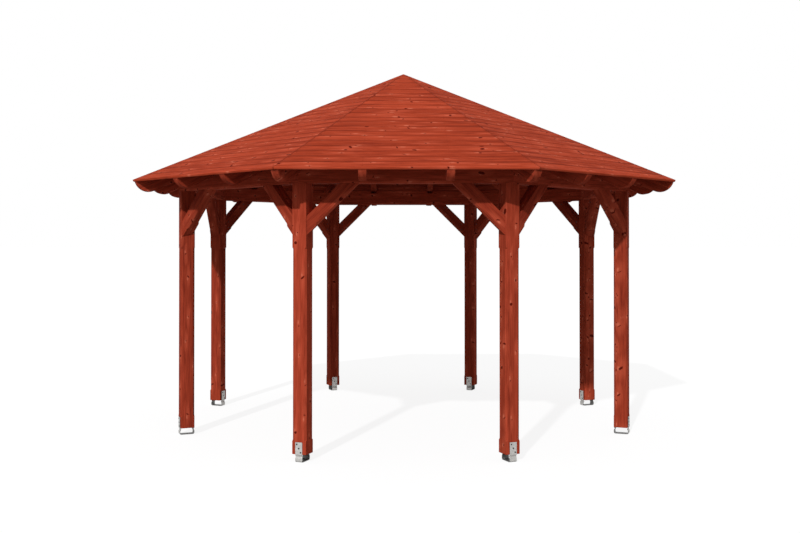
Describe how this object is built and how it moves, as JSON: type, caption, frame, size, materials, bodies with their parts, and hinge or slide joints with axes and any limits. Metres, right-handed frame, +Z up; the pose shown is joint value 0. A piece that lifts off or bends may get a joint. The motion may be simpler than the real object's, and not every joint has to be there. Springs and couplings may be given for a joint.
{
  "type": "garden gazebo",
  "caption": "Open octagonal timber garden gazebo: posts on steel strap bases, braced ring beams and rafters with rounded tails under a shallow boarded pyramid roof.",
  "frame": {"origin": "on the ground, under the peak of the roof", "axes": "+Z up through the peak; one flat side, the front, faces -Y"},
  "size_m": [4.7584, 4.7584, 3.349],
  "materials": {
    "post_timber": "planed glued spruce with red-brown glaze",
    "beam_timber": "planed glued spruce with red-brown glaze",
    "rafter_timber": "planed spruce with red-brown glaze",
    "roof_boards": "tongued spruce boards with red-brown glaze",
    "galvanised_steel": "hot-dip galvanised, matt grey"
  },
  "bodies": {
    "root": {"post_front_right": "post_timber", "post_right_front": "post_timber", "post_right_back": "post_timber", "post_back_right": "post_timber", "post_back_left": "post_timber", "post_left_back": "post_timber", "post_left_front": "post_timber", "post_front_left": "post_timber", "post_bases": "galvanised_steel", "beam_front": "beam_timber", "beam_front_right": "beam_timber", "beam_right": "beam_timber", "beam_back_right": "beam_timber", "beam_back": "beam_timber", "beam_back_left": "beam_timber", "beam_left": "beam_timber", "beam_front_left": "beam_timber", "braces_front": "beam_timber", "braces_front_right": "beam_timber", "braces_right": "beam_timber", "braces_back_right": "beam_timber", "braces_back": "beam_timber", "braces_back_left": "beam_timber", "braces_left": "beam_timber", "braces_front_left": "beam_timber", "hip_rafters": "rafter_timber", "jack_rafters_front": "rafter_timber", "jack_rafters_front_right": "rafter_timber", "jack_rafters_right": "rafter_timber", "jack_rafters_back_right": "rafter_timber", "jack_rafters_back": "rafter_timber", "jack_rafters_back_left": "rafter_timber", "jack_rafters_left": "rafter_timber", "jack_rafters_front_left": "rafter_timber", "king_block": "rafter_timber", "roof_front": "roof_boards", "roof_front_right": "roof_boards", "roof_right": "roof_boards", "roof_back_right": "roof_boards", "roof_back": "roof_boards", "roof_back_left": "roof_boards", "roof_left": "roof_boards", "roof_front_left": "roof_boards"}
  },
  "joints": []
}
